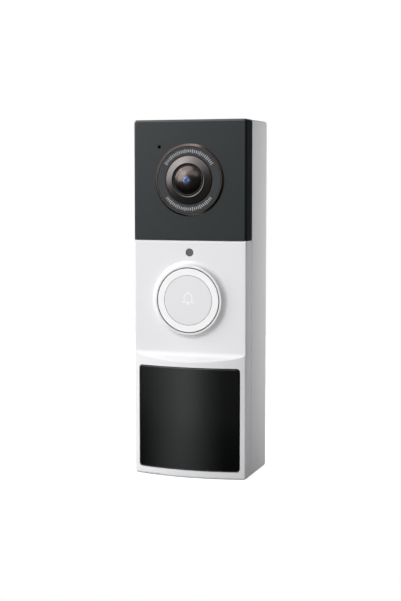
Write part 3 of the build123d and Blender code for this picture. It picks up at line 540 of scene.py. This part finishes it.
tinned_steel = plated("tinned_steel", "B4B5B5", 0.35, 0.4, 0.004)
finish_nodes(tinned_steel, "radio_shield", "port_socket", "battery_tabs")
black_epoxy = moulded("black_epoxy", "1A1A1C", 0.55, 0.15, 0.004)
finish_nodes(black_epoxy, "board_chips", "call_switch", "reset_switch")
ivory_nylon = moulded("ivory_nylon", "DAD3C0", 0.5, 0.3, 0.006)
finish_nodes(ivory_nylon, "board_connectors", "call_plunger", "reset_plunger")
finish_nodes(moulded("clear_epoxy_lamps", "D9DCE2", 0.15, 0.5, 0.002, 0.6), "infrared_leds")
finish_nodes(moulded("white_lamp_bodies", "EFE9C8", 0.35, 0.3, 0.004), "indicator_leds")
finish_nodes(moulded("amber_polyimide", "A8651F", 0.3, 0.5, 0.004), "camera_ribbon")
finish_nodes(plated("copper_foil", "B87348", 0.35, 0.3, 0.003), "antenna")
finish_nodes(plated("copper_winding", "9C5A33", 0.4, 0.12, 0.02), "filter_actuator")


# ---- Battery -------------------------------------------------------------------------------------
# Two cylindrical cells in heat-shrunk film, joined by tinned tabs in a moulded cradle. The film is
# glossy blue, with a slow waviness where it has shrunk on to the can.

finish_nodes(moulded("heat_shrunk_film", "2E6D8E", 0.28, 1.2, 0.02, tone=0.08), "battery_cells")


# ---- Stage ---------------------------------------------------------------------------------------
# A white table and backdrop, and seven softboxes: key, left and fill light the front and rim the
# right side, while front, overhead and strip shape reflections. Table and backdrop are bright to the
# camera alone, so that they come out white and still leave the dark pieces dark.

bpy.context.scene.view_settings.view_transform = "Standard"

FLOOR_MIDDLE_Y = 0.16
FLOOR_WIDTH = 1.2
FLOOR_DEPTH = 0.6
bpy.ops.mesh.primitive_plane_add(size=1, location=(0, FLOOR_MIDDLE_Y, cad_box[0][2]))
floor = bpy.context.object
floor.scale = (FLOOR_WIDTH, FLOOR_DEPTH, 1)
floor.name = "floor"
floor_paint, tree, output, _ = new_material("white_table")
TABLE_GLOW = 0.62
path = add_node(tree, "ShaderNodeLightPath").outputs
# Kept dark in reflections, as with a black card laid in front of the glossy pieces.
bounce = add_node(
    tree,
    "ShaderNodeMix",
    {"data_type": "RGBA", 6: linear("8C8C8C"), 7: linear("2A2A2A")},
    {"Factor": path["Is Glossy Ray"]},
).outputs[2]
bright = add_node(
    tree,
    "ShaderNodeBsdfPrincipled",
    {
        "Base Color": linear("F0F0F0"),
        "Roughness": 0.9,
        "Specular IOR Level": 0.0,
        "Emission Color": (1, 1, 1, 1),
        "Emission Strength": TABLE_GLOW,
    },
)
quiet = add_node(
    tree,
    "ShaderNodeBsdfPrincipled",
    {"Roughness": 0.9, "Specular IOR Level": 0.0},
    {"Base Color": bounce},
)
table = add_node(
    tree,
    "ShaderNodeMixShader",
    None,
    {0: path["Is Camera Ray"], 1: quiet.outputs["BSDF"], 2: bright.outputs["BSDF"]},
)
tree.links.new(table.outputs["Shader"], output.inputs["Surface"])
floor.data.materials.append(floor_paint)

world = bpy.data.worlds.new("studio")
bpy.context.scene.world = world
world.use_nodes = True
tree = world.node_tree
tree.nodes.clear()
output = add_node(tree, "ShaderNodeOutputWorld")
direction = add_node(tree, "ShaderNodeTexCoord").outputs["Generated"]
BRIGHT_SIDE = (-0.55, -0.35, 0.76)
towards_light = add_node(
    tree, "ShaderNodeVectorMath", {"operation": "DOT_PRODUCT", 1: BRIGHT_SIDE}, {0: direction}
).outputs["Value"]
room = add_node(
    tree,
    "ShaderNodeMapRange",
    {"From Min": -0.8, "From Max": 1.0, "To Min": 0.03, "To Max": 0.22},
    {"Value": towards_light},
).outputs["Result"]
seen = add_node(tree, "ShaderNodeLightPath").outputs["Is Camera Ray"]
strength = add_node(
    tree, "ShaderNodeMix", {"data_type": "FLOAT", "B": 1.0}, {"Factor": seen, "A": room}
).outputs["Result"]
background = add_node(tree, "ShaderNodeBackground", {"Color": (1, 1, 1, 1)}, {"Strength": strength})
tree.links.new(background.outputs["Background"], output.inputs["Surface"])


def softbox(name, place, target, width, height, radiance):
    """Rectangular area light aimed at a point, as bright as the radiance says, unseen by the camera."""
    light = bpy.data.lights.new(name, "AREA")
    light.shape = "RECTANGLE"
    light.size = width
    light.size_y = height
    light.energy = radiance * pi * width * height
    lamp = bpy.data.objects.new(name, light)
    bpy.context.scene.collection.objects.link(lamp)
    lamp.location = place
    lamp.rotation_euler = (Vector(target) - Vector(place)).to_track_quat("-Z", "Y").to_euler()
    lamp.visible_camera = False
    return lamp


softbox("key", (-0.7, -0.62, 0.36), (0, -0.03, 0), 0.9, 0.8, 3.9)
rim = softbox("rim", (0.07, 0.045, -0.01), (0.0247, -0.012, -0.01), 0.03, 0.34, 3.9)
rim.visible_glossy = False
front = softbox("front", (0.0, -0.72, 0.72), (0, -0.03, 0.03), 1.9, 0.5, 1.6)
front.visible_diffuse = False
overhead = softbox("overhead", (-0.35, -0.2, 0.85), (0, -0.03, 0), 1.0, 0.8, 2.6)
overhead.visible_diffuse = False
fill = softbox("fill", (0.05, -1.0, 0.12), (0, -0.03, 0), 0.8, 0.6, 2.05)
fill.visible_glossy = False
softbox("left", (-0.75, 0.16, 0.42), (0, -0.03, 0.03), 0.6, 0.6, 3.4)
softbox("strip", (-0.316, -0.98, -0.06), (0, -0.03, 0), 0.24, 0.8, 0.28)

camera = bpy.data.cameras.new("camera")
camera.sensor_width = 36
camera.sensor_fit = "AUTO"
camera.lens = 76.19
camera.clip_start = 0.01
viewer = bpy.data.objects.new("camera", camera)
bpy.context.scene.collection.objects.link(viewer)
CAMERA_PLACE = Vector((0.1718, -0.5333, 0.0487))
CAMERA_TARGET = Vector((0.00483, -0.0315, -0.00007))
viewer.location = CAMERA_PLACE
viewer.rotation_euler = (CAMERA_TARGET - CAMERA_PLACE).to_track_quat("-Z", "Y").to_euler()
bpy.context.scene.camera = viewer
